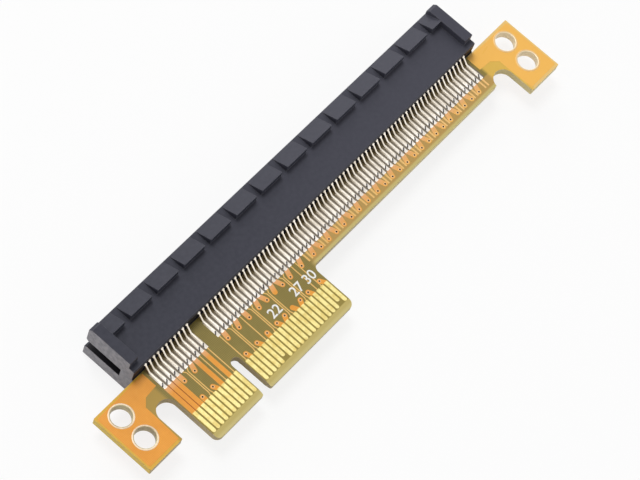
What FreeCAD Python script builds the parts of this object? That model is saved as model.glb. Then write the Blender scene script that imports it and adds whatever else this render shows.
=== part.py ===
import FreeCAD, Part
import math
import os
from FreeCAD import Vector

# A slot-to-edge riser card: a flat board whose lower edge plugs into a short card slot,
# carrying a long card slot on its upper edge. Millimetres.
# Working axes: X along the slot from the board's middle, Y from the card edge to the slot
# mouth, Z out of the component side, with Z = 0 on the middle plane of the board.

# Contact row, common to the card edge and to the slot
pitch = 1.0
key_span = 3.0            # from the last contact before the key to the first after it
count_before_key = 11
edge_count = 32
slot_count = 82
row_shift = 0.1           # the slot's row is centred this far to -X of the board's middle

# Board
board_thickness = 1.57
board_top = 16.5          # height of the edge that the housing sits on
tongue_margin = 0.6       # from the centre of the end finger to the tongue's side
tongue_depth = 9.25       # from the card edge to the board's lower edge
tongue_corner = 1.0
tongue_fillet = 1.3
key_notch_width = 1.95
key_notch_depth = 7.8
key_notch_corner = 0.3
edge_bevel_length = 1.2
edge_bevel_depth = 0.4
relief_width = 4.1        # routed relief between each tab and the line of the tongue's side
relief_centre = 9.0       # height of the relief's centre
tab_inner_margin = 4.05   # from the relief to the centres of the mounting holes
tab_outer_margin = 3.5    # from the holes to the board's end
tab_bottom = 4.2
tab_corner = 0.15
hole_low = 8.55
hole_rise = 5.15
hole_radius = 1.82        # inside the plating

# Card-edge fingers
finger_width = 0.7
finger_thickness = 0.05
finger_tip = 1.3
finger_top = 6.0
finger_setback = 0.8      # the two presence-detect fingers start this much higher
short_fingers = (17, 31)

# Plated mounting holes
plating = 0.05
land_width = 0.36
land_thickness = 0.05

# Slot housing
housing_first_margin = 3.05  # from the housing's end to the centre of the first contact
housing_last_margin = 2.75   # from the centre of the last contact to the other end
housing_height = 10.1
housing_thickness = 7.5
wall_lift = 0.18          # the side walls stop this far above the board's top edge
wall_chamfer = 0.2        # along the lower edge of each side wall
seat_width = 2.2          # strip of the housing's bottom that rests on the board
slot_width = 2.2
slot_floor = 2.6          # thickness of the floor under the slot
mouth_chamfer = 0.4
key_rib_width = 1.5
key_rib_setback = 1.2     # the key rib stops this far below the mouth
raise_height = 1.5        # the ribs and blocks stand this far above the front face
end_rib_width = 2.0
end_rib_foot = 1.3        # the ribs stop this far above the housing's bottom
end_rib_chamfer = 0.6
block_width = 5.1
block_pitch = 6.5
block_length = 3.25       # from a block's lower edge to the mouth
block_shift = 0.3         # the blocks are centred this far to +X of the housing's middle
cell_width = 0.62
cell_outer_wall = 0.6
cell_roof = 1.0

# Spring contacts
contact_width = 0.3
contact_thickness = 0.22
foot_length = 2.6         # flat stretch soldered to the board
knee_drop = 0.95          # the bend stands this far below the housing's bottom
root_rise = 0.3           # the bend inside the housing, above the board's top edge
root_depth = 2.3          # of that bend, from the middle plane
touch_depth = 0.6         # face of the beam's contact point, from the middle plane
touch_inset = 2.3         # the contact point, below the mouth
tip_depth = 1.3           # the beam's end leads back towards the wall
tip_inset = 1.1

board_half = board_thickness / 2
row_length = (slot_count - 2) * pitch + key_span
row_start = -row_shift - row_length / 2
row_end = row_start + row_length
key_x = row_start + (count_before_key - 1) * pitch + key_span / 2
tongue_side = row_start - tongue_margin
tab_inside = relief_width - tongue_side
hole_x = tab_inside + tab_inner_margin
board_end = hole_x + tab_outer_margin
housing_start = row_start - housing_first_margin
housing_end = row_end + housing_last_margin
housing_half = housing_thickness / 2
mouth = board_top + housing_height
slot_half = slot_width / 2
front_face = housing_half + raise_height
barrel_radius = hole_radius + plating


def polygon_face(corners, plane_point):
    """Flat face through the corners; plane_point turns each (a, b) pair into a point."""
    points = [plane_point(a, b) for a, b in corners]
    return Part.Face(Part.makePolygon(points + points[:1]))


def prism_along_x(corners, x_start, length):
    """Solid with a (y, z) section, drawn out along X."""
    face = polygon_face(corners, lambda y, z: Vector(x_start, y, z))
    return face.extrude(Vector(length, 0, 0))


def plate(corners, z_low, thickness):
    """Flat plate with an (x, y) outline."""
    face = polygon_face(corners, lambda x, y: Vector(x, y, z_low))
    return face.extrude(Vector(0, 0, thickness))


def rounded_outline(corners):
    """Closed wire through (x, y, radius) corners, each rounded by its own radius."""
    edges = []
    joins = []
    count = len(corners)
    for index, (x, y, radius) in enumerate(corners):
        corner = Vector(x, y, 0)
        before = Vector(*corners[index - 1][:2], 0) - corner
        after = Vector(*corners[(index + 1) % count][:2], 0) - corner
        if radius == 0:
            joins.append((corner, corner))
            continue
        half_turn = before.getAngle(after) / 2
        setback = radius / math.tan(half_turn)
        start = corner + before.normalize() * setback
        end = corner + after.normalize() * setback
        middle_line = (before + after).normalize()
        middle = corner + middle_line * (radius / math.sin(half_turn) - radius)
        edges.append(Part.Arc(start, middle, end).toShape())
        joins.append((start, end))
    for index in range(count):
        leave = joins[index - 1][1]
        reach = joins[index][0]
        if leave.distanceToPoint(reach) > 1e-6:
            edges.append(Part.makeLine(leave, reach))
    return Part.Wire(Part.__sortEdges__(edges))


def row_positions(row_count):
    """X of each contact of a row, on the short and the long side of the key."""
    nearest = key_span / 2
    short_side = [key_x - nearest - step * pitch for step in reversed(range(count_before_key))]
    long_side = [key_x + nearest + step * pitch for step in range(row_count - count_before_key)]
    return short_side, long_side


def make_board():
    far_side = row_positions(edge_count)[1][-1] + tongue_margin
    notch_half = key_notch_width / 2
    relief_radius = relief_width / 2
    outline = rounded_outline([
        (-board_end, board_top, tab_corner),
        (-board_end, tab_bottom, tab_corner),
        (-tab_inside, tab_bottom, tab_corner),
        (-tab_inside, relief_centre, 0),
        (tongue_side, relief_centre, 0),
        (tongue_side, 0, tongue_corner),
        (key_x - notch_half, 0, key_notch_corner),
        (key_x - notch_half, key_notch_depth, notch_half),
        (key_x + notch_half, key_notch_depth, notch_half),
        (key_x + notch_half, 0, key_notch_corner),
        (far_side, 0, tongue_corner),
        (far_side, tongue_depth, tongue_fillet),
        (tab_inside, tongue_depth, 0),
        (tab_inside, tab_bottom, tab_corner),
        (board_end, tab_bottom, tab_corner),
        (board_end, board_top, tab_corner),
    ])
    board = Part.Face(outline).extrude(Vector(0, 0, board_thickness))
    board.translate(Vector(0, 0, -board_half))
    cutters = []
    for side in (-1, 1):
        relief = Vector(side * (tab_inside - relief_radius), relief_centre, -board_thickness)
        cutters.append(Part.makeCylinder(relief_radius, 2 * board_thickness, relief))
        bevel = [(0, side * board_half), (edge_bevel_length, side * board_half),
                 (0, side * (board_half - edge_bevel_depth))]
        cutters.append(prism_along_x(bevel, tongue_side, far_side - tongue_side))
    for x, y in hole_centres():
        start = Vector(x, y, -board_thickness)
        cutters.append(Part.makeCylinder(barrel_radius, 2 * board_thickness, start))
    return board.cut(cutters)


def hole_centres():
    heights = (hole_low, hole_low + hole_rise)
    return [(side * hole_x, height) for side in (-1, 1) for height in heights]


def make_hole_barrel(x, y):
    """Plated wall of a hole with a land on each face, turned about the hole's axis."""
    land_radius = barrel_radius + land_width
    face_z = board_half
    top_z = board_half + land_thickness
    section = [(hole_radius, -top_z), (land_radius, -top_z), (land_radius, -face_z),
               (barrel_radius, -face_z), (barrel_radius, face_z), (land_radius, face_z),
               (land_radius, top_z), (hole_radius, top_z)]
    face = polygon_face(section, lambda r, z: Vector(x + r, y, z))
    return face.revolve(Vector(x, y, 0), Vector(0, 0, 1), 360)


def make_fingers(positions, first_number, side):
    """Plated fingers on one tongue; side is 1 for the front and -1 for the back."""
    half = finger_width / 2
    low_z = board_half if side > 0 else -board_half - finger_thickness
    fingers = []
    for number, x in enumerate(positions, first_number):
        tip = finger_tip
        if side > 0 and number in short_fingers:
            tip = finger_tip + finger_setback
        outline = [(x - half, finger_top), (x - half, tip), (x + half, tip),
                   (x + half, finger_top)]
        fingers.append(plate(outline, low_z, finger_thickness))
    return Part.makeCompound(fingers)


def strip_section(centre_line, thickness):
    """Outline of a bent strip, mitred at each bend of its (y, z) centre line."""
    count = len(centre_line)
    points = [Vector(y, z, 0) for y, z in centre_line]
    normals = []
    for start, end in zip(points, points[1:]):
        along = (end - start).normalize()
        normals.append(Vector(-along.y, along.x, 0))
    left = []
    right = []
    for index in range(count):
        before = normals[max(index - 1, 0)]
        after = normals[min(index, count - 2)]
        bisector = (before + after).normalize()
        reach = thickness / 2 / bisector.dot(after)
        left.append(points[index] + bisector * reach)
        right.append(points[index] - bisector * reach)
    return [(point.x, point.y) for point in left + right[::-1]]


def make_contacts(positions, side):
    """Spring contacts of one row: soldered foot, slanted leg, and sprung beam in the slot."""
    half = contact_thickness / 2
    knee = board_top - knee_drop
    centre_line = [(knee - foot_length, board_half + half), (knee, board_half + half),
                   (board_top + root_rise, root_depth),
                   (mouth - touch_inset, touch_depth + half),
                   (mouth - tip_inset, tip_depth)]
    section = [(y, side * z) for y, z in strip_section(centre_line, contact_thickness)]
    contacts = []
    for x in positions:
        contacts.append(prism_along_x(section, x - contact_width / 2, contact_width))
    return Part.makeCompound(contacts)


def make_housing():
    floor = board_top + slot_floor
    seat = seat_width / 2
    wall_bottom = board_top + wall_lift
    section = [(wall_bottom, -seat), (wall_bottom, wall_chamfer - housing_half),
               (wall_bottom + wall_chamfer, -housing_half), (mouth, -housing_half),
               (mouth, -slot_half - mouth_chamfer), (mouth - mouth_chamfer, -slot_half),
               (floor, -slot_half), (floor, slot_half),
               (mouth - mouth_chamfer, slot_half), (mouth, slot_half + mouth_chamfer),
               (mouth, housing_half), (wall_bottom + wall_chamfer, housing_half),
               (wall_bottom, housing_half - wall_chamfer), (wall_bottom, seat),
               (board_top, seat), (board_top, -seat)]
    body = prism_along_x(section, housing_start, housing_end - housing_start)

    key_height = mouth - key_rib_setback - floor
    key_corner = Vector(key_x - key_rib_width / 2, floor, -slot_half)
    raised = [Part.makeBox(key_rib_width, key_height, slot_width, key_corner)]

    rib_bottom = board_top + end_rib_foot
    rib = [(rib_bottom, housing_half), (rib_bottom, front_face),
           (mouth - end_rib_chamfer, front_face), (mouth, front_face - end_rib_chamfer),
           (mouth, housing_half)]
    low_reach = housing_start + end_rib_width
    high_reach = housing_end - end_rib_width
    raised.append(prism_along_x(rib, housing_start, end_rib_width))
    raised.append(prism_along_x(rib, high_reach, end_rib_width))

    block = [(mouth - block_length, housing_half), (mouth - block_length, front_face),
             (mouth, housing_half)]
    for centre in block_centres(low_reach, high_reach):
        start = max(centre - block_width / 2, low_reach)
        end = min(centre + block_width / 2, high_reach)
        raised.append(prism_along_x(block, start, end - start))
    body = body.fuse(raised)
    return body.cut(make_cells()).removeSplitter()


def block_centres(low_reach, high_reach):
    """Centres of the wedge blocks, at an even pitch, as far as the end ribs."""
    middle = (low_reach + high_reach) / 2 + block_shift
    steps = math.ceil((high_reach - low_reach) / block_pitch)
    centres = [middle + (step + 0.5) * block_pitch for step in range(-steps, steps)]
    return [centre for centre in centres
            if low_reach < centre + block_width / 2 and centre - block_width / 2 < high_reach]


def make_cells():
    """Openings for the contacts, from the housing's bottom up beside the slot."""
    short_side, long_side = row_positions(slot_count)
    depth = housing_half - cell_outer_wall - slot_half
    height = housing_height - cell_roof
    cells = []
    for side in (-1, 1):
        low_z = slot_half if side > 0 else -slot_half - depth
        for x in short_side + long_side:
            corner = Vector(x - cell_width / 2, board_top, low_z)
            cells.append(Part.makeBox(cell_width, height, depth, corner))
    return cells


def make_parts():
    parts = {"board": make_board(), "slot_housing": make_housing()}
    edge_rows = row_positions(edge_count)
    slot_rows = row_positions(slot_count)
    first_numbers = (1, count_before_key + 1)
    for face, side in (("front", 1), ("back", -1)):
        for row, name in enumerate(("short", "long")):
            fingers = make_fingers(edge_rows[row], first_numbers[row], side)
            parts[f"fingers_{face}_{name}"] = fingers
            parts[f"contacts_{face}_{name}"] = make_contacts(slot_rows[row], side)
    places = ("left_lower", "left_upper", "right_lower", "right_upper")
    for place, (x, y) in zip(places, hole_centres()):
        parts[f"hole_barrel_{place}"] = make_hole_barrel(x, y)
    return parts


os.makedirs("parts", exist_ok=True)
# The part's own origin: under the middle of the card, on the surface that it lies on
origin_shift = Vector(0, -mouth / 2, housing_half)
for node, shape in make_parts().items():
    shape.translate(origin_shift)
    shape.exportStep(f"parts/{node}.step")
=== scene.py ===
import bpy
import bmesh
import math
import random
from mathutils import Matrix, Quaternion, Vector
from mathutils.geometry import convex_hull_2d


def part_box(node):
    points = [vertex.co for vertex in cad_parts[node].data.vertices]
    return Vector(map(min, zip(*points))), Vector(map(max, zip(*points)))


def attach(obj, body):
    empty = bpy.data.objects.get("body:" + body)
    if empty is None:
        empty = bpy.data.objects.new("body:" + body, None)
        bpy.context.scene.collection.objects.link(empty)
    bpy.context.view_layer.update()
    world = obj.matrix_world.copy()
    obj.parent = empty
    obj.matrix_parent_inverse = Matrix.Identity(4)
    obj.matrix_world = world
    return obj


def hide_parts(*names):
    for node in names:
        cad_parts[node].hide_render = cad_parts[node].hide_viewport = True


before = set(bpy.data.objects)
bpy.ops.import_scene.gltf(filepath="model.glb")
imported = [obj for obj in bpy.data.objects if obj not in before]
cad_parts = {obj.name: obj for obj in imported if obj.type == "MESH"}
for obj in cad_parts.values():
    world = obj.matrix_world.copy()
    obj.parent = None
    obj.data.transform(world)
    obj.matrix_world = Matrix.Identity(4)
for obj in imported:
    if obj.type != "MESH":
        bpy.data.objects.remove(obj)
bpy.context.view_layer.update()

mm = 0.001
random.seed(11)
print("frame loaded")

boardLow, boardHigh = (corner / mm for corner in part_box("board"))
housingLow, housingHigh = (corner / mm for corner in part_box("slot_housing"))
faceZ = {1: boardHigh.z, -1: boardLow.z}    # the two faces of the board
sides = {1: "front", -1: "back"}
middleZ = (boardHigh.z + boardLow.z) / 2
rows = {"shortCount": 11, "longSlot": 71, "longEdge": 21, "stripWidth": 0.3, "fingerWidth": 0.7}


def rowX(node, count, width):
    # middle of each of the count like pieces in a node
    low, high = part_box(node)
    first = low.x / mm + width / 2
    step = ((high.x - low.x) / mm - width) / (count - 1)
    return [first + step * index for index in range(count)]


def readRow(kind, width, longCount):
    # x of each piece by its number, and the numbers on either side of the key
    shortCount = rows["shortCount"]
    places = rowX(f"{kind}_front_short", shortCount, width)
    places += rowX(f"{kind}_front_long", longCount, width)
    numbers = {"short": range(1, shortCount + 1), "long": range(shortCount + 1, len(places) + 1)}
    return dict(enumerate(places, 1)), numbers


contactX, contactNumbers = readRow("contacts", rows["stripWidth"], rows["longSlot"])
fingerX, fingerNumbers = readRow("fingers", rows["fingerWidth"], rows["longEdge"])
keyX = (contactX[rows["shortCount"]] + contactX[rows["shortCount"] + 1]) / 2

# mesh helpers, all in millimetres

meshLimits = {"insetSpread": 0.25, "traceMitre": 0.3}


def insetOutline(outline, distance):
    # moves each side of an anticlockwise outline inwards
    moved = []
    for index, here in enumerate(outline):
        before = (here - outline[index - 1]).normalized()
        after = (outline[(index + 1) % len(outline)] - here).normalized()
        inwardBefore = Vector((-before.y, before.x))
        inwardAfter = Vector((-after.y, after.x))
        spread = max(1 + inwardBefore.dot(inwardAfter), meshLimits["insetSpread"])
        moved.append(here + (inwardBefore + inwardAfter) * (distance / spread))
    return moved


def anticlockwise(outline):
    points = [Vector(point) for point in outline]
    area = sum(a.x * b.y - b.x * a.y for a, b in zip(points, points[1:] + points[:1]))
    return points if area > 0 else points[::-1]


def circleOutline(x, y, radius, count):
    turns = [2 * math.pi * index / count for index in range(count)]
    return [(x + radius * math.cos(turn), y + radius * math.sin(turn)) for turn in turns]


def roundedBar(x, low, high, width, lowRadius, highRadius, count=5):
    # upright bar with its corners rounded at each end
    half = width / 2
    outline = []
    for centreX, y, radius, start in ((x + half, low, lowRadius, -90),
                                      (x + half, high, highRadius, 0),
                                      (x - half, high, highRadius, 90),
                                      (x - half, low, lowRadius, 180)):
        inX = centreX - radius if centreX > x else centreX + radius
        inY = y + radius if y == low else y - radius
        for step in range(count + 1):
            turn = math.radians(start + 90 * step / count)
            outline.append((inX + radius * math.cos(turn), inY + radius * math.sin(turn)))
    return outline


def traceOutline(points, width):
    # strip of even width along a path
    path = [Vector(point) for point in points]
    left, right = [], []
    for index, here in enumerate(path):
        before = (here - path[index - 1]).normalized() if index else None
        after = (path[index + 1] - here).normalized() if index < len(path) - 1 else None
        before = before or after
        after = after or before
        normal = Vector((-before.y - after.y, before.x + after.x)).normalized()
        mitre = max(normal.dot(Vector((-after.y, after.x))), meshLimits["traceMitre"])
        reach = width / 2 / mitre
        left.append(here + normal * reach)
        right.append(here - normal * reach)
    return [tuple(point) for point in left + right[::-1]]


def dropOutline(padX, padY, padWidth, viaX, viaY, radius, count):
    # pad end drawn into a round via land, as a teardrop
    points = [(padX - padWidth / 2, padY), (padX + padWidth / 2, padY)]
    points += circleOutline(viaX, viaY, radius, count)
    return [points[index] for index in convex_hull_2d(points)]


def ringFaces(rings):
    # the quads between each ring of corners and the next
    return [(ring[step - 1], ring[step], following[step], following[step - 1])
            for ring, following in zip(rings, rings[1:]) for step in range(len(ring))]


def addFaces(bm, faces, side=1):
    for face in faces:
        bm.faces.new(face if side > 0 else face[::-1])


def raisedPatch(bm, outline, side, height, rim, base=None):
    # thin plate on a face of the board, with sloped edges
    base = faceZ[side] if base is None else base
    corners = anticlockwise(outline)
    inner = insetOutline(corners, rim)
    low = [bm.verts.new((point.x, point.y, base)) for point in corners]
    top = [bm.verts.new((point.x, point.y, base + side * height)) for point in inner]
    addFaces(bm, ringFaces([low, top]) + [top], side)


def turnedShape(bm, centre, section, count):
    # (radius, height) section turned about a vertical axis, closed on itself
    rings = []
    for x, y in circleOutline(0, 0, 1, count):
        rings.append([bm.verts.new((centre[0] + radius * x, centre[1] + radius * y, z))
                      for radius, z in section])
    addFaces(bm, ringFaces(rings + rings[:1]))


def addObject(name, data):
    thing = bpy.data.objects.new(name, data)
    bpy.context.scene.collection.objects.link(thing)
    return thing


def makeMesh(bm, name):
    mesh = bpy.data.meshes.new(name)
    bm.to_mesh(mesh)
    bm.free()
    return mesh


def placePiece(name, mesh, material, replacing=()):
    # adds the object and ties it to the frame
    piece = addObject(name, mesh)
    mesh.materials.append(materials[material])
    if replacing:
        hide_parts(*replacing)
    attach(piece, "root")
    return piece


def finishPiece(bm, name, material, smoothAngle=None, replacing=()):
    # turns a shape in millimetres into a piece
    bmesh.ops.scale(bm, vec=(mm, mm, mm), verts=bm.verts)
    mesh = makeMesh(bm, name)
    if smoothAngle:
        mesh.shade_smooth()
        mesh.set_sharp_from_angle(angle=math.radians(smoothAngle))
    return placePiece(name, mesh, material, replacing)


# shader helpers, and the effects that several materials share

def addNode(tree, kind, sockets=None, **settings):
    # sockets takes the values of named inputs
    node = tree.nodes.new(kind)
    for key, value in settings.items():
        setattr(node, key, value)
    for key, value in (sockets or {}).items():
        node.inputs[key].default_value = value
    return node


def fillSockets(tree, pairs):
    # sets or links each socket that has a value
    for socket, value in pairs:
        if isinstance(value, (int, float, tuple)):
            socket.default_value = value
        elif value is not None:
            tree.links.new(value, socket)


def mathNode(tree, operation, first, second=None, third=None):
    node = addNode(tree, "ShaderNodeMath", operation=operation)
    fillSockets(tree, zip(node.inputs, (first, second, third)))
    return node.outputs[0]


def multiply(tree, first, second):
    return mathNode(tree, "MULTIPLY", first, second)


def absolute(tree, value):
    return mathNode(tree, "ABSOLUTE", value)


def inverse(tree, mask):
    return mathNode(tree, "SUBTRACT", 1.0, mask)


def mixColour(tree, factor, first, second):
    node = addNode(tree, "ShaderNodeMix", data_type="RGBA")
    # inputs 6 and 7 and output 2 are its colours
    pairs = zip((node.inputs[0], node.inputs[6], node.inputs[7]), (factor, first, second))
    fillSockets(tree, pairs)
    return node.outputs[2]


def rangeMask(tree, value, limits):
    # 0 at the first limit, 1 at the second, smooth between
    node = addNode(tree, "ShaderNodeMapRange", {"From Min": limits[0], "From Max": limits[1]},
                   interpolation_type="SMOOTHSTEP")
    tree.links.new(value, node.inputs["Value"])
    return node.outputs[0]


def splitVector(tree, value):
    node = tree.nodes.new("ShaderNodeSeparateXYZ")
    tree.links.new(value, node.inputs[0])
    return node.outputs[:]


def facing(tree):
    geometry = tree.nodes.new("ShaderNodeNewGeometry")
    return splitVector(tree, geometry.outputs["True Normal"])


def bindFinish(tree, finish):
    # a mask between limits of the finish, and one of its colours laid over another
    def within(value, key):
        return rangeMask(tree, value, finish[key])

    def cover(under, share, key):
        if key + "Share" in finish:
            share = multiply(tree, share, finish[key + "Share"])
        return mixColour(tree, share, under, finish[key])

    return within, cover


def dress(tree, shader, finish, colour, height, smudges=None, rough=None):
    # links what a material ends with
    tree.links.new(colour, shader.inputs["Base Color"])
    if smudges:
        rough = rough or finish["rough"]
        rough = mathNode(tree, "MULTIPLY_ADD", smudges, finish["smudge"], rough)
        tree.links.new(rough, shader.inputs["Roughness"])
    if "bump" in finish:
        strength, depth = finish["bump"]
        bump = addNode(tree, "ShaderNodeBump", {"Strength": strength, "Distance": depth * mm})
        tree.links.new(height, bump.inputs["Height"])
        tree.links.new(bump.outputs[0], shader.inputs["Normal"])


def startGroup(name, numbers, results):
    # group with a place, numbers and results
    group = bpy.data.node_groups.new(name, "ShaderNodeTree")

    def addSocket(label, way, kind="NodeSocketFloat"):
        return group.interface.new_socket(name=label, in_out=way, socket_type=kind)

    addSocket("Place", "INPUT", "NodeSocketVector")
    for label, value in numbers.items():
        addSocket(label, "INPUT").default_value = value
    for label in results:
        addSocket(label, "OUTPUT")
    given = group.nodes.new("NodeGroupInput").outputs
    return group, given, group.nodes.new("NodeGroupOutput").inputs


effectSet = {"broadScale": 0.11, "broadShade": 0.7, "fineShade": 0.3, "cloudScale": 0.35,
             "smudgeScale": 0.45}


def addTexture(group, kind, place, scale=None, sockets=None, **settings):
    # its scale is a number or a socket of the group
    texture = addNode(group, "ShaderNodeTex" + kind, sockets, **settings)
    fillSockets(group, ((texture.inputs["Vector"], place), (texture.inputs["Scale"], scale)))
    return texture.outputs["Fac"]


def makeGrainGroup():
    # fine moulded or matt grain, as a height and a shade
    group, given, put = startGroup("fineGrain", {"Scale": 6.0, "Roughen": 0.5}, ("Height", "Shade"))
    place, scale = given["Place"], given["Scale"]
    fine = addTexture(group, "Noise", place, scale, {"Detail": 3.0, "Roughness": 0.6})
    broad = addTexture(group, "Noise", place,
                       multiply(group, scale, effectSet["broadScale"]), {"Detail": 2.0})
    group.links.new(multiply(group, fine, given["Roughen"]), put["Height"])
    shade = mathNode(group, "MULTIPLY_ADD", broad, effectSet["broadShade"],
                     multiply(group, fine, effectSet["fineShade"]))
    group.links.new(shade, put["Shade"])
    return group


def makeWeaveGroup():
    # glass cloth under the surface: threads that cross, as a height and a shade
    group, given, put = startGroup("glassWeave", {"Threads": 2.0, "Blur": 0.4}, ("Height", "Shade"))
    place, blur = given["Place"], given["Blur"]
    waves = [addTexture(group, "Wave", place, given["Threads"],
                        {"Detail": 2.0, "Distortion": 0.6}, bands_direction=direction)
             for direction in ("X", "Y")]
    crossing = multiply(group, *waves)
    cloud = addTexture(group, "Noise", place, effectSet["cloudScale"], {"Detail": 3.0})
    shade = mathNode(group, "MULTIPLY_ADD", crossing, inverse(group, blur),
                     multiply(group, cloud, blur))
    group.links.new(crossing, put["Height"])
    group.links.new(shade, put["Shade"])
    return group


def makeMarksGroup():
    # handling marks: thin scratches along one way and soft smudges
    group, given, put = startGroup("handlingMarks", {"Size": 1.0, "Amount": 0.3},
                                   ("Scratches", "Smudges"))
    place, size, amount = given["Place"], given["Size"], given["Amount"]
    stretch = addNode(group, "ShaderNodeMapping",
                      {"Scale": (9.0, 0.7, 3.0), "Rotation": (0.0, 0.0, 0.12)})
    group.links.new(place, stretch.inputs["Vector"])
    lines = addTexture(group, "Noise", stretch.outputs[0], size, {"Detail": 4.0, "Roughness": 0.7})
    sharp = addNode(group, "ShaderNodeMapRange", {"From Min": 0.6, "From Max": 0.78})
    group.links.new(lines, sharp.inputs["Value"])
    smudge = addTexture(group, "Noise", place,
                        multiply(group, size, effectSet["smudgeScale"]),
                        {"Detail": 3.0, "Distortion": 0.8})
    group.links.new(multiply(group, sharp.outputs[0], amount), put["Scratches"])
    group.links.new(multiply(group, smudge, amount), put["Smudges"])
    return group


effects = {"grain": makeGrainGroup(), "weave": makeWeaveGroup(), "marks": makeMarksGroup()}


def startMaterial(name, **constants):
    # Principled material and its place in millimetres; constants go on its own sockets
    material = bpy.data.materials.new(name)
    material.use_nodes = True
    tree = material.node_tree
    shader = tree.nodes["Principled BSDF"]
    for key, value in constants.items():
        shader.inputs[key.replace("_", " ")].default_value = value
    coordinates = tree.nodes.new("ShaderNodeTexCoord")
    place = addNode(tree, "ShaderNodeMapping", {"Scale": (1 / mm, 1 / mm, 1 / mm)})
    tree.links.new(coordinates.outputs["Object"], place.inputs["Vector"])
    return material, tree, shader, place.outputs[0]


def useEffect(tree, effect, place, **values):
    node = tree.nodes.new("ShaderNodeGroup")
    node.node_tree = effects[effect]
    tree.links.new(place, node.inputs["Place"])
    for key, value in values.items():
        node.inputs[key].default_value = value
    return node.outputs


boardFinish = {
    "mask": (0.225, 0.172, 0.034, 1), "maskWarm": (0.31, 0.235, 0.055, 1),
    "notchLeft": (0.44, 0.285, 0.055, 1), "notchRight": (0.76, 0.48, 0.08, 1),
    "marginLeft": (0.76, 0.44, 0.05, 1), "marginRight": (0.88, 0.58, 0.19, 1),
    "extension": (0.50, 0.31, 0.085, 1), "lowStrip": (0.60, 0.49, 0.17, 1),
    "footGap": (0.20, 0.165, 0.12, 1), "legShade": (0.17, 0.115, 0.035, 1),
    "bandGap": (0.36, 0.075, 0.001, 1), "fingerGap": (0.31, 0.235, 0.045, 1),
    "bare": (0.62, 0.49, 0.155, 1), "barePale": (0.74, 0.64, 0.28, 1),
    "sidePaintedLit": (0.74, 0.52, 0.10, 1), "sideDull": (0.48, 0.39, 0.22, 1),
    "sidePale": (0.78, 0.66, 0.34, 1), "sideDark": (0.20, 0.16, 0.09, 1),
    # where each starts and is full, in millimetres along x or y
    "pastTongue": (-8.0, -6.5), "belowFeet": (-1.3, -1.6), "nearEdge": (-3.3, -3.7),
    "fromKey": (1.2, 1.6), "inRow": (42.1, 41.9), "underLegs": (1.2, 2.6),
    "besideRow": (42.5, 43.3), "paintedLightRightwards": (-20.0, 20.0), "onTab": (46.3, 47.3),
    "aboveRow": (2.2, 3.0), "offTongue": (44.8, 45.3), "amongFingers": (-7.2, -7.4),
    "bevel": (-12.4, -13.1), "belowTips": (-11.9, -12.15), "farEnd": (48.0, 51.0),
    "palerSide": (-10.0, 30.0), "lastBand": 3, "bandSide": 0.3, "bandFade": 0.1,
    # the same for the weave's shade and a face's direction
    "weaveMix": (0.2, 0.75), "notDown": (-0.75, 0.0), "flat": (0.4, 0.7),
    "bareWeave": 0.3, "bareBevel": 0.6, "sideDarkShare": 0.3, "weaveHeight": 0.6,
    "fibreScale": 1.6, "faceRough": 0.35, "sideRough": 0.65, "smudge": 0.3, "bump": (0.25, 0.02),
}


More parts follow.
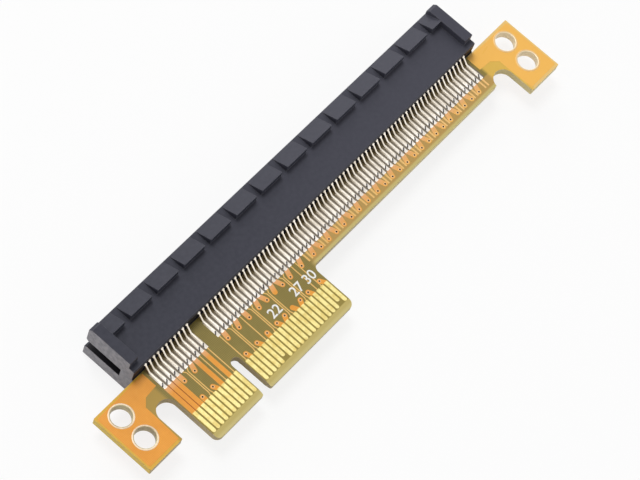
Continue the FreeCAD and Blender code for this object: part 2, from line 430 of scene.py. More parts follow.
def makeBoardMaterial():
    # yellow solder mask on glass laminate, bare at the card edge, fibres on the routed sides
    finish = boardFinish
    material, tree, shader, place = startMaterial("yellowMask", Specular_IOR_Level=0.3,
                                                  Coat_Weight=0.12, Coat_Roughness=0.15)
    within, cover = bindFinish(tree, finish)
    alongX, alongY = splitVector(tree, place)[:2]
    farX = absolute(tree, alongX)
    weave = useEffect(tree, "weave", place, Threads=1.1, Blur=0.55)
    marks = useEffect(tree, "marks", place, Size=0.5, Amount=0.6)
    mask = cover(finish["mask"], within(weave["Shade"], "weaveMix"), "maskWarm")
    # past the tongues there is no inner copper, so the mask is lighter
    pastTongue = within(alongX, "pastTongue")
    belowFeet = within(alongY, "belowFeet")
    mask = cover(mask, multiply(tree, pastTongue, belowFeet), "extension")
    mask = cover(mask, multiply(tree, pastTongue, within(alongY, "nearEdge")), "lowStrip")
    # greyer brown between the feet with painted shade under the legs near the housing, and copper
    # shining through between the wide bands
    fromKey = absolute(tree, mathNode(tree, "SUBTRACT", alongX, keyX))
    nearFeet = multiply(tree, within(fromKey, "fromKey"), within(farX, "inRow"))
    nearFeet = multiply(tree, nearFeet, inverse(tree, belowFeet))
    gapAndLegShade = cover(finish["footGap"], within(alongY, "underLegs"), "legShade")
    mask = mixColour(tree, nearFeet, mask, gapAndLegShade)
    start = contactX[1] - finish["bandSide"]
    end = contactX[finish["lastBand"]] + finish["bandSide"]
    inBands = multiply(tree, rangeMask(tree, alongX, (start - finish["bandFade"], start)),
                       rangeMask(tree, alongX, (end + finish["bandFade"], end)))
    mask = cover(mask, multiply(tree, inBands, belowFeet), "bandGap")
    # tabs: lighter in the notch beside the row, more so along the outer edges; painted light makes
    # both lighter towards +X
    beside = within(farX, "besideRow")
    paintedLightRightwards = within(alongX, "paintedLightRightwards")
    mask = mixColour(tree, beside, mask, cover(finish["notchLeft"], paintedLightRightwards, "notchRight"))
    outer = mathNode(tree, "MAXIMUM", within(farX, "onTab"),
                     multiply(tree, beside, within(alongY, "aboveRow")))
    mask = mixColour(tree, outer, mask, cover(finish["marginLeft"], paintedLightRightwards, "marginRight"))
    # dark laminate between the fingers, bare and pale below their tips
    onTongue = inverse(tree, within(farX, "offTongue"))
    mask = cover(mask, multiply(tree, onTongue, within(alongY, "amongFingers")), "fingerGap")
    bevel = multiply(tree, within(alongY, "bevel"), finish["bareBevel"])
    pale = mathNode(tree, "MULTIPLY_ADD", weave["Shade"], finish["bareWeave"], bevel)
    belowTips = multiply(tree, onTongue, within(alongY, "belowTips"))
    face = mixColour(tree, belowTips, mask, cover(finish["bare"], pale, "barePale"))
    # fibres run in layers along the routed sides; painted light and shade on them: the outer walls
    # of the tabs are painted lit, the other sides keep a duller shaded colour, and all are painted
    # paler towards +X
    layers = addTexture(tree, "Wave", place, finish["fibreScale"],
                        {"Distortion": 2.5, "Detail": 3.0}, bands_direction="Z")
    normal = facing(tree)
    paintedLitWalls = multiply(tree, within(normal[1], "notDown"), within(farX, "farEnd"))
    side = cover(finish["sideDull"], paintedLitWalls, "sidePaintedLit")
    side = cover(side, within(alongX, "palerSide"), "sidePale")
    side = cover(side, layers, "sideDark")
    flat = within(absolute(tree, normal[2]), "flat")
    rough = mathNode(tree, "MULTIPLY_ADD", flat, finish["faceRough"] - finish["sideRough"],
                     finish["sideRough"])
    height = mathNode(tree, "MULTIPLY_ADD", weave["Height"], finish["weaveHeight"], layers)
    dress(tree, shader, finish, mixColour(tree, flat, side, face), height, marks["Smudges"], rough)
    return material


copperFinish = {
    "wide": {"main": (0.95, 0.385, 0.045, 1), "deep": (0.80, 0.30, 0.03, 1),
             "pale": (1.0, 0.50, 0.10, 1), "far": (1.0, 0.57, 0.12, 1),
             "toe": (0.88, 0.47, 0.22, 1)},
    "thin": {"main": (0.92, 0.57, 0.17, 1), "deep": (0.80, 0.46, 0.11, 1),
             "pale": (1.0, 0.72, 0.30, 1), "far": (1.0, 0.62, 0.24, 1)},
    # via rims: paler, creamier copper than the pours, standing in for the highlight on the raised
    # ring as painted light
    "rim": {"main": (0.98, 0.60, 0.27, 1), "deep": (0.90, 0.48, 0.17, 1),
            "pale": (1.0, 0.74, 0.47, 1), "far": (1.0, 0.66, 0.32, 1)},
    # starts and ends in shade and in millimetres, and shares of each colour
    "weaveMix": (0.15, 0.8), "paintedLightRightwards": (-20.0, 44.0), "nearToe": (-2.9, -1.5),
    "inRow": (42.4, 42.2), "paleShare": 0.35, "farShare": 0.8, "toeShare": 0.75,
    "smudge": 0.4, "rough": 0.22, "bump": (0.2, 0.01),
}


def makeCopperMaterial(name, kind):
    # copper seen through the yellow mask
    finish = {**copperFinish, **copperFinish[kind]}
    material, tree, shader, place = startMaterial(name, Specular_IOR_Level=0.3,
                                                  Coat_Weight=0.08, Coat_Roughness=0.15)
    within, cover = bindFinish(tree, finish)
    alongX, alongY = splitVector(tree, place)[:2]
    weave = useEffect(tree, "weave", place, Threads=1.1, Blur=0.7)
    marks = useEffect(tree, "marks", place, Size=0.6, Amount=0.5)
    grain = useEffect(tree, "grain", place, Scale=14.0, Roughen=0.5)
    colour = cover(finish["deep"], within(weave["Shade"], "weaveMix"), "main")
    colour = cover(colour, grain["Shade"], "pale")
    # painted light: lighter and yellower towards +X, where more light falls
    colour = cover(colour, within(alongX, "paintedLightRightwards"), "far")
    if "toe" in finish:
        # pinker close to the solder
        toe = multiply(tree, within(alongY, "nearToe"), within(absolute(tree, alongX), "inRow"))
        colour = cover(colour, toe, "toe")
    dress(tree, shader, finish, colour, grain["Height"], marks["Smudges"])
    return material


metalFinish = {
    "gold": {"light": (0.88, 0.76, 0.31, 1), "dark": (0.74, 0.58, 0.18, 1),
             "metal": 0.45, "rough": 0.26, "grain": 9.0, "marks": 0.5, "bump": (0.12, 0.02)},
    "tin": {"light": (0.92, 0.86, 0.76, 1), "dark": (0.74, 0.67, 0.56, 1),
            "metal": 0.7, "rough": 0.24, "grain": 5.0, "marks": 0.5, "bump": (0.12, 0.02)},
    "solder": {"light": (1.0, 0.95, 0.88, 1), "dark": (0.83, 0.77, 0.69, 1),
               "dull": (0.50, 0.43, 0.33, 1), "shade": (0.05, 0.045, 0.045, 1),
               "metal": 0.6, "rough": 0.24, "grain": 2.6, "marks": 0.3, "bump": (0.3, 0.02)},
    "plating": {"light": (0.86, 0.69, 0.49, 1), "dark": (0.68, 0.52, 0.34, 1),
                "far": (0.82, 0.50, 0.18, 1),
                "metal": 0.25, "rough": 0.32, "grain": 3.5, "marks": 0.6, "bump": (0.2, 0.02)},
    "holeWall": {"light": (0.58, 0.50, 0.29, 1), "dark": (0.36, 0.29, 0.16, 1),
                 "far": (0.92, 0.78, 0.54, 1),
                 "metal": 0.2, "rough": 0.34, "grain": 3.5, "marks": 0.6, "bump": (0.3, 0.02)},
    "grainMix": (0.36, 0.6), "roughen": 0.8, "markSize": 1.6, "darkShare": 0.5,
    "paintedLightRightwards": (-20.0, 44.0), "farShare": 0.85, "smudge": 0.35, "scratchDepth": -0.4,
    # dull beside the foot, with a slanting painted dark reflection over each end
    "besideFoot": (-0.4, 1.6), "reflectionY": -0.62, "reflectionSide": (0.24, 0.08),
    "reflectionEnd": (0.78, 0.6), "reflectionStart": 1.5, "wander": 0.9,
}


def makeMetalMaterial(name, kind):
    finish = {**metalFinish, **metalFinish[kind]}
    material, tree, shader, place = startMaterial(name, Metallic=finish["metal"])
    within, cover = bindFinish(tree, finish)
    alongX, alongY = splitVector(tree, place)[:2]
    grain = useEffect(tree, "grain", place, Scale=finish["grain"], Roughen=finish["roughen"])
    marks = useEffect(tree, "marks", place, Size=finish["markSize"], Amount=finish["marks"])
    colour = cover(finish["dark"], within(grain["Shade"], "grainMix"), "light")
    colour = cover(colour, marks["Scratches"], "dark")
    if "far" in finish:
        # painted light: towards the +X end the colour stands in for the light that falls there
        colour = cover(colour, within(alongX, "paintedLightRightwards"), "far")
    if "dull" in finish:
        colour = cover(colour, within(alongY, "besideFoot"), "dull")
        # painted dark reflection in each toe fillet, one for each contact, so the row is a zigzag
        aslant = mathNode(tree, "ADD", alongX, finish["reflectionStart"] - contactX[1])
        aslant = mathNode(tree, "FRACT", aslant)
        wander = mathNode(tree, "MULTIPLY_ADD", grain["Shade"], finish["wander"],
                          mathNode(tree, "SUBTRACT", alongY, aslant))
        away = absolute(tree, mathNode(tree, "SUBTRACT", wander, finish["reflectionY"]))
        paintedReflection = multiply(tree, within(away, "reflectionSide"), within(aslant, "reflectionEnd"))
        colour = cover(colour, paintedReflection, "shade")
    height = mathNode(tree, "MULTIPLY_ADD", marks["Scratches"], finish["scratchDepth"],
                      grain["Height"])
    dress(tree, shader, finish, colour, height, marks["Smudges"])
    return material


plasticFinish = {
    "dark": (0.026, 0.027, 0.041, 1), "light": (0.033, 0.034, 0.050, 1),
    "wearAndHighlight": (0.12, 0.12, 0.13, 1), "paintedBright": (0.062, 0.062, 0.084, 1),
    "end": (0.19, 0.185, 0.205, 1), "endPaintedPale": (0.29, 0.28, 0.30, 1),
    "deep": (0.008, 0.007, 0.010, 1),
    "grainMix": (0.3, 0.7), "endMix": (0.35, 0.65), "paintedLightRightwards": (-40.0, 44.0),
    "paintedBrightShare": 0.6, "endFacing": (0.5, 0.9), "endPlace": (43.9, 44.0),
    "insideDepth": (3.3, 3.1), "belowMouth": (-0.1, -0.5),
    "smudge": 0.2, "rough": 0.5, "bump": (0.25, 0.02),
}


def makePlasticMaterial(name, wearAndHighlight):
    # dark grey moulded plastic, fine matt grain; the last number is the share of pale colour,
    # partly rubbed wear and, on the rounded edges, a painted highlight
    finish = {**plasticFinish, "wearAndHighlightShare": wearAndHighlight}
    material, tree, shader, place = startMaterial(name, Specular_IOR_Level=0.25)
    within, cover = bindFinish(tree, finish)
    alongX, alongY, alongZ = splitVector(tree, place)
    grain = useEffect(tree, "grain", place, Scale=11.0, Roughen=0.7)
    marks = useEffect(tree, "marks", place, Size=0.35, Amount=0.35)
    colour = cover(finish["dark"], within(grain["Shade"], "grainMix"), "light")
    # painted light: the plastic is made lighter towards +X, where more light falls
    colour = cover(colour, within(alongX, "paintedLightRightwards"), "paintedBright")
    colour = cover(colour, grain["Shade"], "wearAndHighlight")
    # painted light: faces at both ends are painted a pale grey, as if lit from the side
    ends = cover(finish["end"], within(grain["Shade"], "endMix"), "endPaintedPale")
    paintedLitEnds = multiply(tree, within(absolute(tree, facing(tree)[0]), "endFacing"),
                     within(absolute(tree, alongX), "endPlace"))
    colour = mixColour(tree, paintedLitEnds, colour, ends)
    # the slot and the contact cells are in deep shade
    depth = absolute(tree, mathNode(tree, "SUBTRACT", alongZ, middleZ))
    below = mathNode(tree, "SUBTRACT", alongY, housingHigh.y)
    inside = multiply(tree, within(depth, "insideDepth"), within(below, "belowMouth"))
    inside = multiply(tree, inside, inverse(tree, paintedLitEnds))
    colour = cover(colour, inside, "deep")
    dress(tree, shader, finish, colour, grain["Height"], marks["Smudges"])
    return material


grainyFinish = {
    # white printed numbers, a little uneven
    "whiteInk": {"low": (0.84, 0.82, 0.76, 1), "high": (1.0, 1.0, 0.98, 1), "grain": 7.0,
                 "bump": (0.3, 0.01), "shader": {"Roughness": 0.5}},
    # painted shade: a flat dark disc for the shaded inside of a via, with a trace of copper
    "viaShadeDisc": {"low": (0.006, 0.003, 0.002, 1), "high": (0.05, 0.02, 0.008, 1),
                "grain": 8.0, "shader": {"Roughness": 0.8, "Specular_IOR_Level": 0.0}},
}


def makeGrainyMaterial(name):
    # two colours mixed by the grain alone
    finish = grainyFinish[name]
    material, tree, shader, place = startMaterial(name, **finish["shader"])
    grain = useEffect(tree, "grain", place, Scale=finish["grain"], Roughen=0.6)
    colour = mixColour(tree, grain["Shade"], finish["low"], finish["high"])
    dress(tree, shader, finish, colour, grain["Height"])
    return material


materials = {
    "board": makeBoardMaterial(),
    "copper": makeCopperMaterial("maskedCopper", "wide"),
    "thinCopper": makeCopperMaterial("thinCopper", "thin"),
    "rim": makeCopperMaterial("viaRim", "rim"),
    "plastic": makePlasticMaterial("slotPlastic", wearAndHighlight=0.06),
    "plasticEdge": makePlasticMaterial("slotPlasticEdge", wearAndHighlight=0.55),
    "gold": makeMetalMaterial("fingerGold", "gold"),
    "tin": makeMetalMaterial("contactTin", "tin"),
    "solder": makeMetalMaterial("solderTin", "solder"),
    "plating": makeMetalMaterial("holePlating", "plating"),
    "holeWall": makeMetalMaterial("holeWall", "holeWall"),
    "ink": makeGrainyMaterial("whiteInk"),
    "viaShade": makeGrainyMaterial("viaShadeDisc"),
}
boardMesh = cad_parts["board"].data
boardMesh.materials.clear()
boardMesh.materials.append(materials["board"])
print("materials made")

# slot housing: the exact shape with its outer edges rounded as moulded

housingSet = {"edgeRound": 0.08, "roundSteps": 2, "sharpTurn": 20, "flatTurn": 0.5,
              "weld": 1e-4, "endNear": 0.01, "innerLow": 0.65, "innerHigh": 6.85, "edgeSlot": 1}


def makeHousing():
    bm = bmesh.new()
    bm.from_mesh(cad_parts["slot_housing"].data)
    bmesh.ops.scale(bm, vec=(1 / mm, 1 / mm, 1 / mm), verts=bm.verts)
    bmesh.ops.remove_doubles(bm, verts=bm.verts, dist=housingSet["weld"])
    bmesh.ops.dissolve_limit(bm, angle_limit=math.radians(housingSet["flatTurn"]),
                             verts=bm.verts, edges=bm.edges)
    sharp = math.radians(housingSet["sharpTurn"])
    near = housingSet["endNear"]
    outer = []
    for edge in bm.edges:
        if len(edge.link_faces) != 2 or edge.calc_face_angle() < sharp:
            continue
        ends = [vertex.co for vertex in edge.verts]
        # the contact cells keep their sharp edges
        inner = all(housingSet["innerLow"] < point.z - housingLow.z < housingSet["innerHigh"]
                    for point in ends)
        atLeft = all(point.x < housingLow.x + near for point in ends)
        atRight = all(point.x > housingHigh.x - near for point in ends)
        if atLeft or atRight or not inner:
            outer.append(edge)
    bmesh.ops.bevel(bm, geom=outer, offset=housingSet["edgeRound"], offset_type="OFFSET",
                    segments=housingSet["roundSteps"], profile=0.5, affect="EDGES",
                    clamp_overlap=True, material=housingSet["edgeSlot"])
    piece = finishPiece(bm, "roundedHousing", "plastic",
                        replacing=("slot_housing",))
    # the rounded edge faces take the paler edge material: rubbed wear and a painted highlight
    piece.data.materials.append(materials["plasticEdge"])


makeHousing()
print("housing made")

# spring contacts: stamped strips with rounded bends and edges

stripSet = {"thickness": 0.22, "edgeRound": 0.04, "bends": (0.55, 0.45, 1.6), "bendSteps": 6,
            "headWidth": 0.56, "headBend": 2, "footLength": 2.6, "knee": 0.95,
            "rootRise": 0.3, "rootDepth": 2.3, "touchDepth": 0.6, "touchInset": 2.3,
            "tipDepth": 1.3, "tipInset": 1.1, "smooth": 35}


def stripCentreLine():
    # (place, half width) along the strip, wider at the bend inside the housing
    half = stripSet["thickness"] / 2
    kneeY = housingLow.y - stripSet["knee"]
    boardHalf = (boardHigh.z - boardLow.z) / 2
    corners = [Vector(pair) for pair in (
        (kneeY - stripSet["footLength"], boardHalf + half), (kneeY, boardHalf + half),
        (housingLow.y + stripSet["rootRise"], stripSet["rootDepth"]),
        (housingHigh.y - stripSet["touchInset"], stripSet["touchDepth"] + half),
        (housingHigh.y - stripSet["tipInset"], stripSet["tipDepth"]))]
    narrow, wide = rows["stripWidth"] / 2, stripSet["headWidth"] / 2
    steps = stripSet["bendSteps"]
    line = [(corners[0], narrow)]
    for index in range(1, len(corners) - 1):
        here = corners[index]
        before = (corners[index - 1] - here).normalized()
        after = (corners[index + 1] - here).normalized()
        setback = stripSet["bends"][index - 1] / math.tan(before.angle(after) / 2)
        start, end = here + before * setback, here + after * setback
        for step in range(steps + 1):
            t = step / steps
            point = start * (1 - t) ** 2 + here * 2 * t * (1 - t) + end * t ** 2
            inHead = index == stripSet["headBend"] and 0 < step < steps
            line.append((point, wide if inHead else narrow))
    return line + [(corners[-1], narrow)]


def addStrip(bm, x, side, line):
    thick = stripSet["thickness"] / 2
    trim = stripSet["edgeRound"]
    rings = []
    for index, (here, wide) in enumerate(line):
        section = [(wide - trim, thick), (trim - wide, thick), (-wide, thick - trim),
                   (-wide, trim - thick), (trim - wide, -thick), (wide - trim, -thick),
                   (wide, trim - thick), (wide, thick - trim)]
        before = line[max(index - 1, 0)][0]
        after = line[min(index + 1, len(line) - 1)][0]
        along = (after - before).normalized()
        lift = Vector((-along.y, along.x))
        ring = []
        for across, height in section:
            point = here + lift * height
            ring.append(bm.verts.new((x + across, point.x, middleZ + side * point.y)))
        rings.append(ring)
    addFaces(bm, ringFaces(rings) + [rings[0], rings[-1][::-1]], side)


def makeStrips():
    line = stripCentreLine()
    for side, name in sides.items():
        for part, numbers in contactNumbers.items():
            bm = bmesh.new()
            for number in numbers:
                addStrip(bm, contactX[number], side, line)
            bmesh.ops.recalc_face_normals(bm, faces=bm.faces)
            finishPiece(bm, f"strips_{name}_{part}", "tin",
                        stripSet["smooth"], (f"contacts_{name}_{part}",))


makeStrips()
print("contacts made")

# solder lands, and the solder drawn up round each foot

solderSet = {
    "landWidth": 0.64, "landLow": -1.42, "landHigh": 2.1, "landHeight": 0.035, "rim": 0.03,
    "landCorner": 0.1, "landSteps": 2, "skirt": 0.02, "heel": 0.06, "climb": 0.13,
    "climbSpread": (0.8, 1.2), "toeSpread": (0.06, 0.2), "leanSpread": (-0.03, 0.03),
    # wider than the foot, in from the toe and from the heel, share of the climb
    "levels": ((0.07, 0.12, 0.15, 0.5), (0.01, -0.1, 0.25, 1), (-0.06, 0.05, 0.4, 1)),
    "leanReach": 4, "toeCorner": 0.2, "heelCorner": 0.12, "cornerSteps": 3, "smooth": 60,
}


def addSolder(bm, x, side, footLow):
    base = faceZ[side] + side * solderSet["landHeight"]
    climb = solderSet["climb"] * random.uniform(*solderSet["climbSpread"])
    low = solderSet["landLow"] + random.uniform(*solderSet["toeSpread"])
    high = solderSet["landHigh"] - solderSet["heel"]
    lean = random.uniform(*solderSet["leanSpread"]) * solderSet["leanReach"]
    levels = [(solderSet["landWidth"] / 2 - solderSet["skirt"], low, high, 0.0)]
    for (wider, toe, heel, share), start in zip(solderSet["levels"], (low, footLow, footLow)):
        levels.append((rows["stripWidth"] / 2 + wider, start + toe, high - heel, climb * share))
    rings = []
    for half, start, end, lift in levels:
        outline = roundedBar(x + lean * lift, start, end, 2 * half,
                             min(half, solderSet["toeCorner"]),
                             min(half, solderSet["heelCorner"]), solderSet["cornerSteps"])
        rings.append([bm.verts.new((px, py, base + side * lift)) for px, py in outline])
    addFaces(bm, ringFaces(rings), side)


def makeSolder():
    footLow = housingLow.y - stripSet["knee"] - stripSet["footLength"]
    corner = solderSet["landCorner"]
    for side, name in sides.items():
        lands, beads = bmesh.new(), bmesh.new()
        for x in contactX.values():
            bar = roundedBar(x, solderSet["landLow"], solderSet["landHigh"],
                             solderSet["landWidth"], corner, corner, solderSet["landSteps"])
            raisedPatch(lands, bar, side, solderSet["landHeight"], solderSet["rim"])
            addSolder(beads, x, side, footLow)
        finishPiece(lands, f"lands_{name}", "solder")
        finishPiece(beads, f"solder_{name}", "solder", solderSet["smooth"])


makeSolder()
print("solder made")

# plated fingers with rounded ends

fingerSet = {"tip": -12.0, "top": -7.3, "setback": 0.8, "shortOnes": (17, 31), "height": 0.05,
             "rim": 0.02, "roundTip": 0.3, "roundTop": 0.06, "smooth": 30}


def makeFingers():
    for side, name in sides.items():
        for part, numbers in fingerNumbers.items():
            bm = bmesh.new()
            for number in numbers:
                isShort = side > 0 and number in fingerSet["shortOnes"]
                tip = fingerSet["tip"] + (fingerSet["setback"] if isShort else 0)
                bar = roundedBar(fingerX[number], tip, fingerSet["top"], rows["fingerWidth"],
                                 fingerSet["roundTip"], fingerSet["roundTop"])
                raisedPatch(bm, bar, side, fingerSet["height"], fingerSet["rim"])
            finishPiece(bm, f"gold_{name}_{part}", "gold",
                        fingerSet["smooth"], (f"fingers_{name}_{part}",))


makeFingers()
print("fingers made")

# copper under the mask: pours on the tabs, wide bands, thin pairs and via stubs

copperSet = {
    "height": 0.028, "rim": 0.03, "thin": 0.2, "wide": 0.86, "padEnd": -1.25, "fingerLap": 0.15,
    "upperVia": -2.65, "lowerVia": -6.55, "stub": 0.92, "viaLand": 0.48, "landCount": 18,
    "shiftFirst": -0.48, "shiftSecond": 0.48,
    "pairGap": 0.36, "pairBends": (0.2, 0.7), "pairLow": -6.7, "pairToe": 0.1, "thinDrop": 0.004,
    "blind": 0.34, "blindEnd": -3.05, "blindBend": 0.5, "blindLean": 0.12,
    "pourHole": 2.2, "pourCount": 40,
}
viaSet = {"rim": 0.31, "hole": 0.15, "round": 0.04, "rise": 0.022, "sink": 0.005, "count": 16,
          "wellLap": 0.01, "wellSkin": 0.001, "wellRise": 0.006, "wellCount": 12, "smooth": 50}
frontPlan = {
    "ground": (4, 7, 13, 16, 18, 21, 22, 25, 26, 29, 32, 35, 36, 39, 40, 43, 44, 47, 49, 52, 53,
               56, 57, 60, 61, 64, 65, 68, 69, 72, 73, 76, 77, 80),
    "single": {4: 0.0, 7: -0.47, 13: -0.26, 16: -0.5, 18: 0.03, 29: -0.5, 32: -0.6, 47: -0.47,
               49: -0.04, 80: -0.5},
    "power": (1, 2, 3, 8, 10),
    "pairs": ((5, 6), (14, 15), (19, 20), (23, 24), (27, 28)),
    "alone": (9, 11, 12, 17, 30, 31), "noVia": (25,),
}
backPlan = {
    "ground": (4, 12, 15, 18, 20, 23, 24, 27, 28, 31, 34, 37, 38, 41, 42, 45, 46, 49, 51, 54, 55,
               58, 59, 62, 63, 66, 67, 70, 71, 74, 75, 78, 79, 82),
    "single": {4: 0.2, 12: -0.1, 15: 0.0, 18: -0.2, 20: 0.2, 31: -0.2, 34: 0.2, 49: -0.25,
               51: 0.2, 82: 0.0},
    "power": (2, 3, 9, 10),
    "pairs": ((13, 14), (16, 17), (21, 22), (25, 26), (29, 30)),
    "alone": (1, 5, 6, 7, 8, 11, 19, 32), "noVia": (),
}
# copper outline at the -X end; the other end mirrors it
tabPour = [(-42.5, 2.95), (-42.5, 0.0), (-45.15, -0.2), (-46.45, -1.35), (-46.45, -3.4),
           (-46.65, -8.6), (-53.3, -8.6), (-53.55, -8.3), (-53.55, 2.5), (-53.2, 2.75),
           (-47.2, 2.8), (-44.9, 2.95)]
holeCorners = ("left_lower", "left_upper", "right_lower", "right_upper")


def findHoles():
    centres = []
    for corner in holeCorners:
        low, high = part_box(f"hole_barrel_{corner}")
        centre = (low + high) / 2 / mm
        centres.append((centre.x, centre.y))
    return centres


holeCentres = findHoles()
padEnd, fingerEnd = copperSet["padEnd"], fingerSet["top"] - copperSet["fingerLap"]


def viaShift(plan, number):
    if number in plan["single"]:
        return plan["single"][number]
    return copperSet["shiftSecond"] if number - 1 in plan["ground"] else copperSet["shiftFirst"]


def addPour(bm, outline, holes, side):
    # plate with round openings
    height = side * copperSet["height"]
    loops = [anticlockwise(outline)]
    for x, y in holes:
        circle = circleOutline(x, y, copperSet["pourHole"], copperSet["pourCount"])
        loops.append([Vector(point) for point in circle][::-1])
    topEdges = []
    for loop in loops:
        inner = insetOutline(loop, copperSet["rim"])
        low = [bm.verts.new((p.x, p.y, faceZ[side])) for p in loop]
        top = [bm.verts.new((p.x, p.y, faceZ[side] + height)) for p in inner]
        for quad in ringFaces([low, top]):
            topEdges += [edge for edge in bm.faces.new(quad).edges
                         if edge.verts[0] in top and edge.verts[1] in top]
    bmesh.ops.triangle_fill(bm, edges=list(set(topEdges)), use_beauty=True)


def addVia(rims, viaShades, x, y, side):
    base = faceZ[side] + side * (copperSet["height"] - viaSet["sink"])
    outer, inner, around = viaSet["rim"], viaSet["hole"], viaSet["round"]
    top = base + side * viaSet["rise"]
    section = [(outer, base), (outer - around, top), (inner + around, top), (inner, base)]
    turnedShape(rims, (x, y), section, viaSet["count"])
    # painted shade: a thin dark disc over the via stands in for its shaded hole
    viaShade = circleOutline(x, y, inner + viaSet["wellLap"], viaSet["wellCount"])
    skin = viaSet["wellSkin"]
    raisedPatch(viaShades, viaShade, side, skin, skin, base + side * viaSet["wellRise"])


def planStubs(plan, rims, viaShades, side):
    # teardrops from pads and fingers to the vias, and the wide bands
    outlines = []
    for number in plan["ground"]:
        x = contactX[number]
        viaX = x + viaShift(plan, number)
        ends = [(padEnd, copperSet["upperVia"])]
        if number in fingerX:
            ends.append((fingerEnd, copperSet["lowerVia"]))
        for padY, viaY in ends:
            outlines.append(dropOutline(x, padY, copperSet["stub"], viaX, viaY,
                                        copperSet["viaLand"], copperSet["landCount"]))
            if number not in plan["noVia"]:
                addVia(rims, viaShades, viaX, viaY, side)
    for number in plan["power"]:
        path = [(contactX[number], padEnd), (fingerX[number], fingerEnd)]
        outlines.append(traceOutline(path, copperSet["wide"]))
    return outlines


def planTraces(plan):
    # pairs that close up between pads and fingers, single lines and short ends
    thin = copperSet["thin"]
    straight, closed = copperSet["pairBends"]
    outlines = []
    for first, second in plan["pairs"]:
        middle = (contactX[first] + contactX[second]) / 2
        for number, way in ((first, -1), (second, 1)):
            x = middle + way * copperSet["pairGap"] / 2
            path = [(contactX[number], padEnd), (contactX[number], padEnd - straight),
                    (x, padEnd - closed), (x, copperSet["pairLow"]),
                    (fingerX[number] - way * copperSet["pairToe"], fingerEnd)]
            outlines.append(traceOutline(path, thin))
    for number in plan["alone"]:
        path = [(contactX[number], padEnd), (fingerX[number], fingerEnd)]
        outlines.append(traceOutline(path, thin))
    for number in sorted(set(contactX) - set(plan["ground"]) - set(fingerX)):
        way = 1 if number - 1 in plan["ground"] else -1
        x = contactX[number] + way * copperSet["blindLean"]
        path = [(contactX[number], padEnd), (x, padEnd - copperSet["blindBend"]),
                (x, copperSet["blindEnd"])]
        outlines.append(traceOutline(path, copperSet["blind"]))
    return outlines


def makeCopper(side, plan):
    copper, traces, rims, viaShades = bmesh.new(), bmesh.new(), bmesh.new(), bmesh.new()
    for outline in planStubs(plan, rims, viaShades, side):
        raisedPatch(copper, outline, side, copperSet["height"], copperSet["rim"])
    for outline in planTraces(plan):
        height = copperSet["height"] - copperSet["thinDrop"]
        raisedPatch(traces, outline, side, height, copperSet["rim"])
    for way in (-1, 1):
        holes = [centre for centre in holeCentres if centre[0] * way > 0]
        addPour(copper, [(-way * x, y) for x, y in tabPour], holes, side)
    name = sides[side]
    bmesh.ops.recalc_face_normals(copper, faces=copper.faces)
    finishPiece(copper, f"copper_{name}", "copper")
    finishPiece(traces, f"traces_{name}", "thinCopper")
    bmesh.ops.recalc_face_normals(rims, faces=rims.faces)
    finishPiece(rims, f"viaRims_{name}", "rim", viaSet["smooth"])
    finishPiece(viaShades, f"viaShadeDiscs_{name}", "viaShade")


makeCopper(1, frontPlan)
makeCopper(-1, backPlan)
print("copper made")

# plated holes with a rounded ring on both faces

holeSet = {
    # (radius, height over the board's face) from the bore to the outside of the ring
    "section": ((1.82, -0.1), (1.84, 0.01), (1.97, 0.05), (2.15, 0.05), (2.21, 0.035), (2.23, 0.0)),
    "wallReach": 1.92, "count": 64, "wallSlot": 1, "smooth": 50,
}


def makeHoleRings():
    upper = [(radius, faceZ[1] + height) for radius, height in holeSet["section"]]
    lower = [(radius, faceZ[-1] - height) for radius, height in holeSet["section"]]
    for corner, centre in zip(holeCorners, holeCentres):
        bm = bmesh.new()
        turnedShape(bm, centre, upper + lower[::-1], holeSet["count"])
        bmesh.ops.recalc_face_normals(bm, faces=bm.faces)
        ring = finishPiece(bm, f"holeRing_{corner}", "plating",
                           holeSet["smooth"], (f"hole_barrel_{corner}",))
        ring.data.materials.append(materials["holeWall"])
        for face in ring.data.polygons:
            if math.dist(face.center.xy / mm, centre) < holeSet["wallReach"]:
                face.material_index = holeSet["wallSlot"]


makeHoleRings()
print("holes made")

# plain printed numbers above the fingers

numberSet = {"size": 2.52, "thickness": 0.012, "bolder": 0.032, "gap": 0.01,
             "texts": (("22", -18.7, -4.95), ("27 30", -11.45, -4.9))}


def makeNumbers():
    lift = faceZ[1] + copperSet["height"] + numberSet["gap"]
    for text, x, y in numberSet["texts"]:
        curve = bpy.data.curves.new("number", "FONT")
        curve.body = text
        curve.size = numberSet["size"] * mm
        curve.extrude = numberSet["thickness"] / 2 * mm
        curve.offset = numberSet["bolder"] * mm
        curve.align_x = "CENTER"
        curve.align_y = "CENTER"
        holder = addObject("number", curve)
        bpy.context.view_layer.update()
        shaped = holder.evaluated_get(bpy.context.evaluated_depsgraph_get())
        mesh = bpy.data.meshes.new_from_object(shaped)
        bpy.data.objects.remove(holder)
        mesh.transform(Matrix.Translation(Vector((x, y, lift)) * mm))
        mesh.materials.clear()
        placePiece("number_" + text.replace(" ", "_"), mesh, "ink")


makeNumbers()
print("numbers made")

# floor, light and camera

stageSet = {"floorHalf": 1.5, "floorGap": 0.02, "world": 0.36, "backdrop": 0.82,
            "floor": (0.96, 0.96, 0.96, 1), "floorPale": (0.99, 0.99, 0.99, 1),
            "white": (1, 1, 1, 1)}
lampSet = {
    "key": {"place": (0.14, 0.745, 1.6), "power": 13.5, "size": 0.7},
    "left": {"place": (-1.15, 0.1, 0.36), "power": 2.5, "size": 0.9},
    "front": {"place": (0.6, -1.05, 0.35), "power": 1.6, "size": 0.9},
    "rear": {"place": (0.75, 1.25, 0.7), "power": 6.0, "size": 0.8},
}
cameraSet = {"place": (-0.210904, -0.07212, 0.39854), "aim": (-0.0029115, -0.0015639, 0.00375),
             "roll": 24.37, "lens": 152.91, "nearest": 0.01}


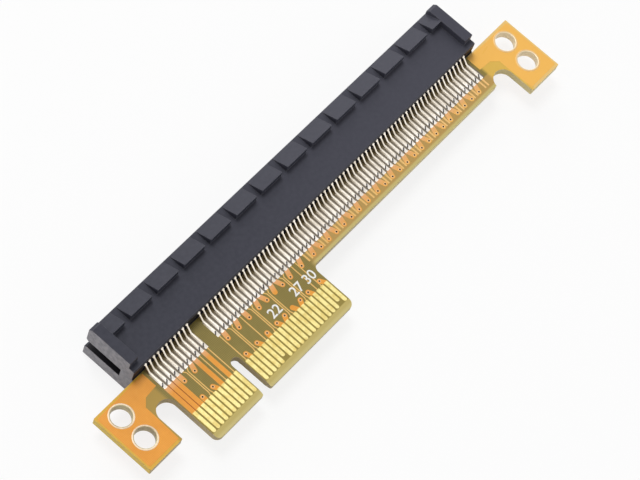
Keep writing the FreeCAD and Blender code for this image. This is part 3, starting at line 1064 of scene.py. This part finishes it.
def directView(tree):
    # 1 for camera, glossy and transmission rays
    path = tree.nodes.new("ShaderNodeLightPath").outputs
    mirrored = mathNode(tree, "MAXIMUM", path["Is Glossy Ray"], path["Is Transmission Ray"])
    return mathNode(tree, "MAXIMUM", path["Is Camera Ray"], mirrored)


def makeFloor():
    material, tree, shader, place = startMaterial("paleFloor", Roughness=0.85)
    grain = useEffect(tree, "grain", place, Scale=0.05, Roughen=0.5)
    colour = mixColour(tree, grain["Shade"], stageSet["floor"], stageSet["floorPale"])
    tree.links.new(colour, shader.inputs["Base Color"])
    # seen directly it is nearly white and keeps a part of the shadow
    plain = addNode(tree, "ShaderNodeEmission", {"Color": stageSet["white"], "Strength": 1.0})
    blend = tree.nodes.new("ShaderNodeMixShader")
    backdrop = multiply(tree, directView(tree), stageSet["backdrop"])
    fillSockets(tree, zip(blend.inputs, (backdrop, shader.outputs[0], plain.outputs[0])))
    tree.links.new(blend.outputs[0], tree.nodes["Material Output"].inputs["Surface"])
    bm = bmesh.new()
    half = stageSet["floorHalf"]
    height = (housingLow.z - stageSet["floorGap"]) * mm
    corners = ((-half, -half), (half, -half), (half, half), (-half, half))
    bm.faces.new([bm.verts.new((x, y, height)) for x, y in corners])
    mesh = makeMesh(bm, "floor")
    mesh.materials.append(material)
    floor = addObject("floor", mesh)


def makeWorld():
    world = bpy.data.worlds.new("studio")
    bpy.context.scene.world = world
    world.use_nodes = True
    tree = world.node_tree
    background = tree.nodes["Background"].inputs
    strength = mathNode(tree, "MULTIPLY_ADD", directView(tree), 1.0 - stageSet["world"],
                        stageSet["world"])
    tree.links.new(strength, background["Strength"])
    background["Color"].default_value = stageSet["white"]


def makeLamps():
    for name, lamp in lampSet.items():
        light = bpy.data.lights.new(name, "AREA")
        light.energy = lamp["power"]
        light.size = lamp["size"]
        holder = addObject(name, light)
        holder.location = lamp["place"]
        aim = (-Vector(lamp["place"])).to_track_quat("-Z", "Y")
        holder.rotation_euler = aim.to_euler()


def makeCamera():
    data = bpy.data.cameras.new("camera")
    data.lens = cameraSet["lens"]
    data.clip_start = cameraSet["nearest"]
    camera = addObject("camera", data)
    place = Vector(cameraSet["place"])
    look = (Vector(cameraSet["aim"]) - place).to_track_quat("-Z", "Y")
    camera.rotation_mode = "QUATERNION"
    camera.location = place
    camera.rotation_quaternion = look @ Quaternion((0, 0, 1), math.radians(cameraSet["roll"]))
    bpy.context.scene.camera = camera


makeFloor()
makeWorld()
makeLamps()
makeCamera()
bpy.context.scene.view_settings.view_transform = "Standard"
bpy.context.view_layer.update()
print("stage, lamps and camera made")
